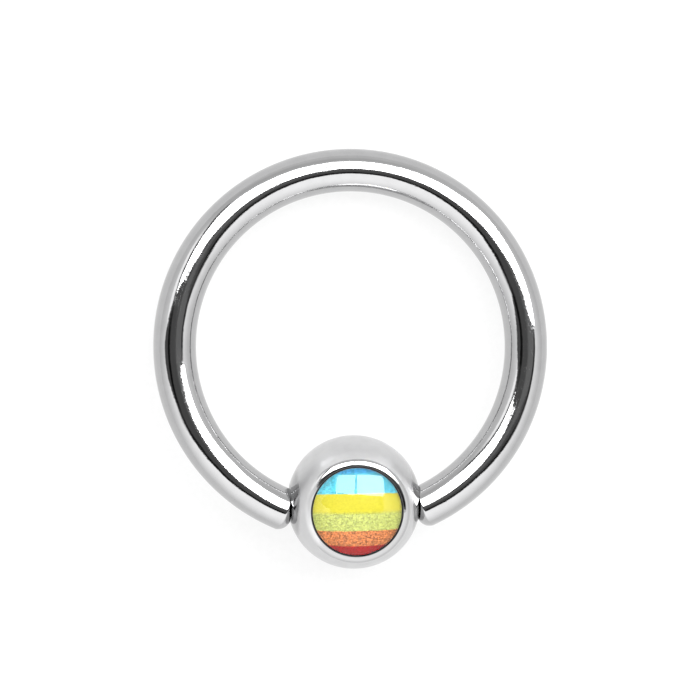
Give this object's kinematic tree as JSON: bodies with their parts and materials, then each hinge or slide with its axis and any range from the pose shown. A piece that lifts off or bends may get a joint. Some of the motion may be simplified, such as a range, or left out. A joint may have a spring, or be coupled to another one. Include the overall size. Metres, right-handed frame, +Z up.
{
  "type": "captive bead ring",
  "caption": "Round wire piercing ring, open between its rounded ends, that springs shut on a steel bead; the bead carries a round striped picture under a clear dome.",
  "frame": {"origin": "on the floor, under the middle of the part's box, as it lies on its side", "axes": "+Z up; +Y from the bead to the far side of the wire; +X along the line of the bead's dimples"},
  "size_m": [0.0148, 0.0156, 0.0047],
  "materials": {
    "wire_steel": "mirror-polished surgical steel with faint marks along the wire",
    "bead_steel": "satin surgical steel with a mirror-polished lip round the picture",
    "stripe_print": "printed picture of blue, cyan, yellow, yellow-green, orange and red stripes",
    "clear_resin": "clear glossy resin"
  },
  "bodies": {
    "ring": {"wire_ring": "wire_steel"},
    "bead": {"bead": "bead_steel", "stripe_disc": "stripe_print", "clear_dome": "clear_resin"}
  },
  "joints": [
    {"name": "bead_turn", "type": "hinge", "parent": "ring", "child": "bead", "pos_m": [0, -0.00531, 0.0025], "axis": [1, 0, 0], "continuous": true}
  ]
}
